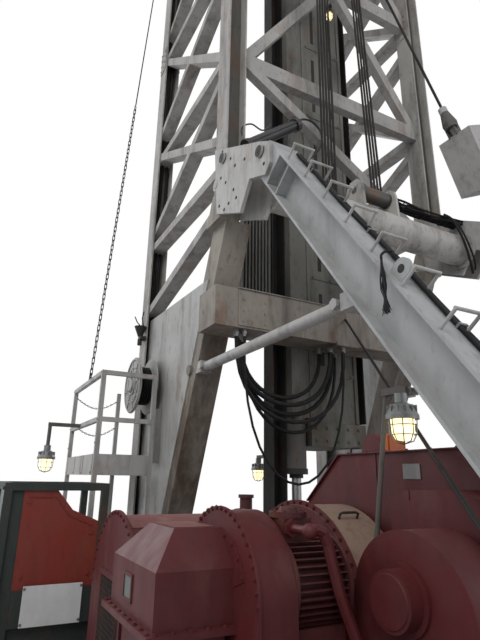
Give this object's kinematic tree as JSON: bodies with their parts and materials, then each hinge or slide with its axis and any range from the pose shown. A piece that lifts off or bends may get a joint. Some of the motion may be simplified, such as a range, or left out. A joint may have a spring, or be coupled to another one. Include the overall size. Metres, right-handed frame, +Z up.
{
  "type": "drilling rig",
  "caption": "Land drilling rig: lattice mast on raking A-frame legs with inner column, hoist lines, guarded drawworks, service platform and cable reel on a steel skid.",
  "frame": {"origin": "on the ground below the middle of the mast's front face", "axes": "+Z up, +X from the mast towards the drawworks, +Y across to the mast's right side seen from the drawworks"},
  "size_m": [7.685, 4.93, 14.66],
  "materials": {
    "pale_paint": "weathered off-white paint with grime",
    "plate_paint": "rust-stained pale paint",
    "skid_paint": "oily grey-brown paint",
    "leg_paint": "stained grey-brown paint",
    "column_paint": "stained grey-green paint",
    "dark_steel": "dark oily steel",
    "bright_rod": "polished rod",
    "wire": "greased wire rope",
    "roller_steel": "worn steel",
    "hose_rubber": "black hose",
    "deck": "worn deck plate",
    "lamp_metal": "cast housing",
    "lamp_glass": "lit globe",
    "works_red": "dusty maroon paint",
    "works_tan": "dusty faded paint",
    "motor_paint": "oily dark red paint",
    "cabinet_green": "dark green paint",
    "blank_white": "plain white board",
    "hood_red": "orange-red paint"
  },
  "bodies": {
    "rig": {"skid_rails": "skid_paint", "skid_cross_beams": "skid_paint", "deck_plates": "deck", "front_legs": "leg_paint", "rear_legs": "pale_paint", "apex_plates": "pale_paint", "leg_ties": "pale_paint", "lower_cross_beam": "leg_paint", "apex_tube": "pale_paint", "leg_rungs": "pale_paint", "mast_legs": "pale_paint", "mast_left_side": "pale_paint", "mast_right_side": "pale_paint", "mast_front": "pale_paint", "mast_top_frame": "pale_paint", "base_side_plates": "plate_paint", "inner_column": "column_paint", "column_rails": "dark_steel", "hose_tray": "column_paint", "ram_barrel": "column_paint", "ram_rod": "bright_rod", "hoist_lines": "wire", "line_brackets": "pale_paint", "line_rollers": "roller_steel", "anchor_block": "pale_paint", "anchor_line": "wire", "tube_hoses": "hose_rubber", "hose_loops": "hose_rubber", "platform_floor": "pale_paint", "platform_posts": "pale_paint", "platform_rails": "pale_paint", "platform_line": "wire", "reel_stand": "plate_paint", "lamp_heads": "lamp_metal", "lamp_globes": "lamp_glass", "lamp_posts": "lamp_metal", "drawworks_base": "works_red", "left_drum_hood": "works_red", "clutch_guard": "works_red", "brake_cover": "works_red", "drive_motor": "motor_paint", "air_pipe": "works_red", "middle_drum_hood": "works_tan", "chain_guard": "works_red", "side_hood": "works_red", "chain_case": "works_red", "cabinet_frame": "cabinet_green", "cabinet_hood": "hood_red", "cabinet_base": "cabinet_green", "sign_board": "blank_white", "stay_line": "wire"},
    "reel": {"cable_reel": "plate_paint"}
  },
  "joints": [
    {"name": "reel_spin", "type": "hinge", "parent": "rig", "child": "reel", "pos_m": [-1.93, -1.731, 3.14], "axis": [0, 1, 0], "continuous": true}
  ]
}
